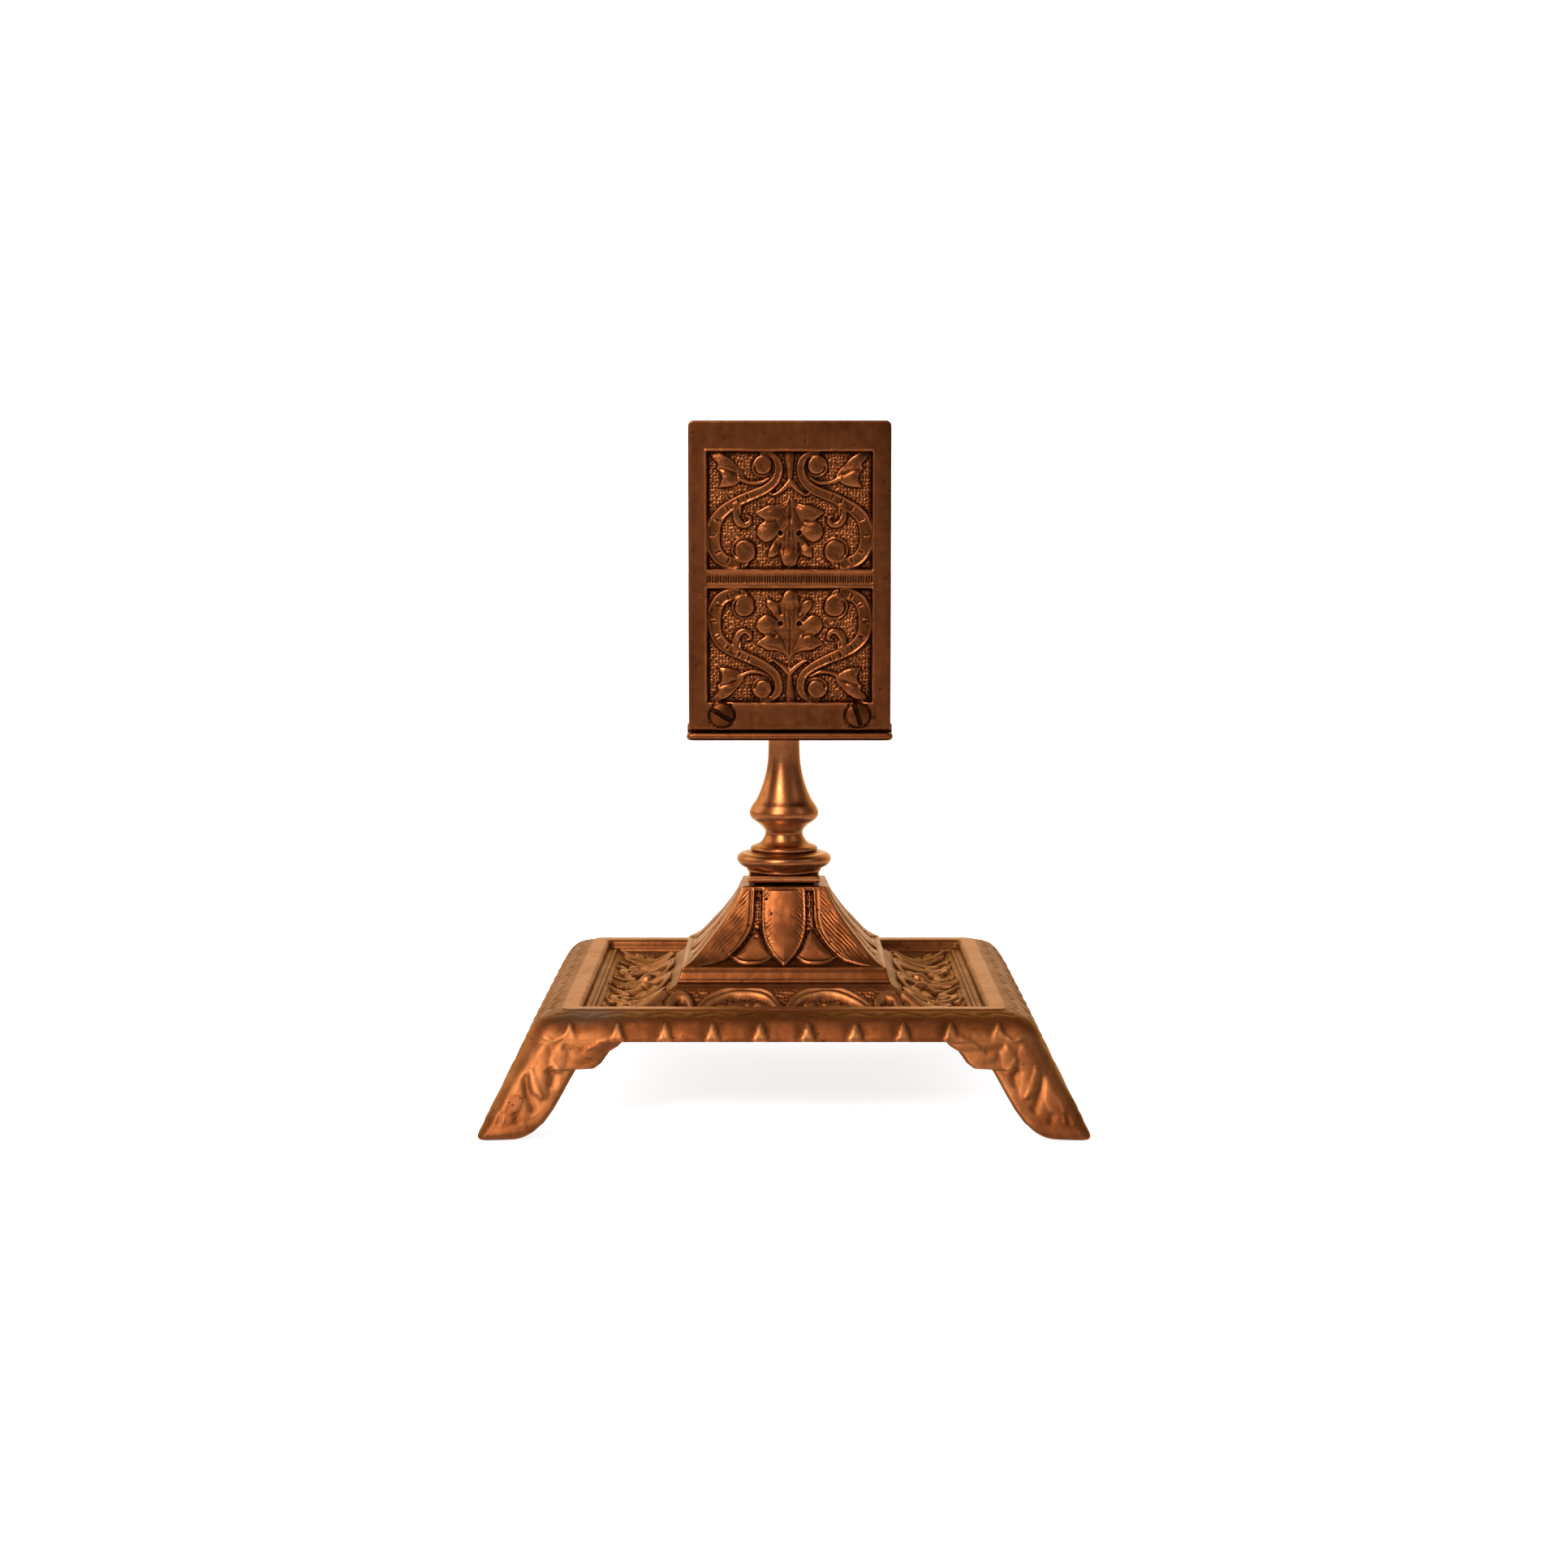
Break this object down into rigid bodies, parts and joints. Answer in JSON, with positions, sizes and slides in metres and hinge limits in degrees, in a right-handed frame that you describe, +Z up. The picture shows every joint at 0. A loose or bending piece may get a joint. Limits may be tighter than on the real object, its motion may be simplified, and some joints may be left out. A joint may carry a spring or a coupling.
{
  "type": "matchbox holder on a footed stand",
  "caption": "Upright brass case that grips a matchbox between two relief plates, on a turned stem and a square dished base with splayed bracket feet.",
  "frame": {"origin": "centre of the square footprint, on the plane that the four feet stand on", "axes": "+Z up the stem, -Y out of the front relief plate, +X to the right when looking at the front"},
  "size_m": [0.1102, 0.1102, 0.1296],
  "materials": {
    "aged_brass": "satin, coppery brown patina with rubbed edges",
    "turned_brass": "turned and lightly polished, tarnished in the grooves",
    "dark_brass": "dull, as cast",
    "dark_steel": "dark, oxidised"
  },
  "bodies": {
    "root": {"base_casting": "aged_brass", "pyramid": "aged_brass", "collar": "turned_brass", "stem": "turned_brass", "tie_rod": "dark_steel", "base_washer": "dark_brass", "base_nut": "dark_brass", "case_tray": "aged_brass", "seat_block": "dark_brass", "back_plate": "aged_brass", "front_plate": "aged_brass", "screw_front_left": "turned_brass", "screw_front_right": "turned_brass", "screw_back_left": "turned_brass", "screw_back_right": "turned_brass"}
  },
  "joints": []
}
